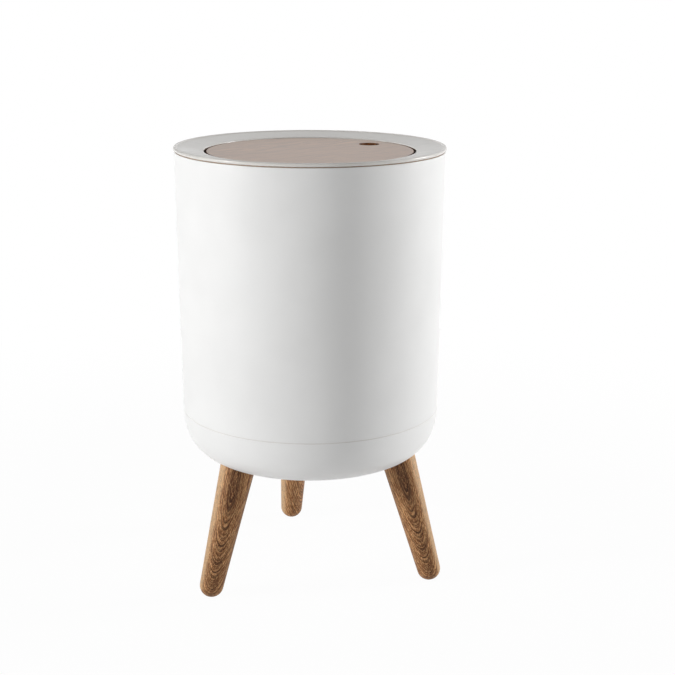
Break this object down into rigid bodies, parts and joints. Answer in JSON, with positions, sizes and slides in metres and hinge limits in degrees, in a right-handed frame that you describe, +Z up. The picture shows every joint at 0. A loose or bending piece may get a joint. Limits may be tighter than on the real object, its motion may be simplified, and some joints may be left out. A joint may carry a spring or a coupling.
{
  "type": "push top bin",
  "caption": "Round push-top bin: tapered barrel on splayed wooden legs, with a lift-off lid whose wood-faced flap springs open when its front edge is pressed.",
  "frame": {"origin": "on the floor under the barrel's axis", "axes": "+Z up; -Y towards the press mark, +Y towards the hinge and the rear leg"},
  "size_m": [0.2366, 0.2431, 0.39],
  "materials": {
    "white_plastic": "satin moulded",
    "lid_plastic": "satin moulded",
    "grey_plastic": "satin moulded",
    "latch_plastic": "fine moulded",
    "walnut_wood": "satin lacquered",
    "panel_wood": "satin lacquered, burnt edge and mark",
    "brass": "turned",
    "zinc_steel": "zinc plated",
    "spring_steel": "drawn wire",
    "foam_tape": "double-sided foam"
  },
  "bodies": {
    "bin": {"barrel": "white_plastic", "base_bowl": "white_plastic", "threaded_inserts": "brass", "leg_rear": "walnut_wood", "leg_left": "walnut_wood", "leg_right": "walnut_wood", "hanger_bolts": "zinc_steel"},
    "bag_clamp": {"bag_ring": "grey_plastic"},
    "lid": {"lid_ring": "lid_plastic", "torsion_spring_left": "spring_steel", "torsion_spring_right": "spring_steel", "latch_housing": "latch_plastic", "latch_screws": "zinc_steel", "latch_pin": "spring_steel", "latch_spring": "spring_steel"},
    "press": {"hinge_pin": "zinc_steel", "pin_clips": "zinc_steel", "latch_jaws": "latch_plastic"},
    "plunger": {"latch_plunger": "latch_plastic"},
    "flap": {"flap_panel": "panel_wood", "panel_tape": "foam_tape", "flap_tray": "lid_plastic", "striker": "latch_plastic", "striker_screws": "zinc_steel"}
  },
  "joints": [
    {"name": "lid_lift", "type": "slide", "parent": "bin", "child": "lid", "axis": [0, 0, 1], "range_m": [0, 0.08]},
    {"name": "bag_ring_lift", "type": "slide", "parent": "bin", "child": "bag_clamp", "axis": [0, 0, 1], "range_m": [0, 0.04]},
    {"name": "flap_press", "type": "hinge", "parent": "lid", "child": "press", "pos_m": [0, 0.1023, 0.3805], "axis": [-1, 0, 0], "range_deg": [-0.8, 0], "stiffness_Nm_per_rad": 8, "springref_deg": 0.86},
    {"name": "plunger_slide", "type": "slide", "parent": "lid", "child": "plunger", "axis": [0, 0, 1], "range_m": [-0.0027, 0], "stiffness_N_per_m": 60, "springref_m": 0.002, "deforming": ["latch_spring"]},
    {"name": "flap_hinge", "type": "hinge", "parent": "press", "child": "flap", "pos_m": [0, 0.1023, 0.3805], "axis": [-1, 0, 0], "range_deg": [0, 80], "stiffness_Nm_per_rad": 0.05, "springref_deg": 114.59}
  ],
  "couplings": [
    {"joint": "bag_ring_lift", "follows": "lid_lift", "ratio": 0.5},
    {"joint": "plunger_slide", "follows": "flap_press", "m_per_rad": 0.1841}
  ]
}
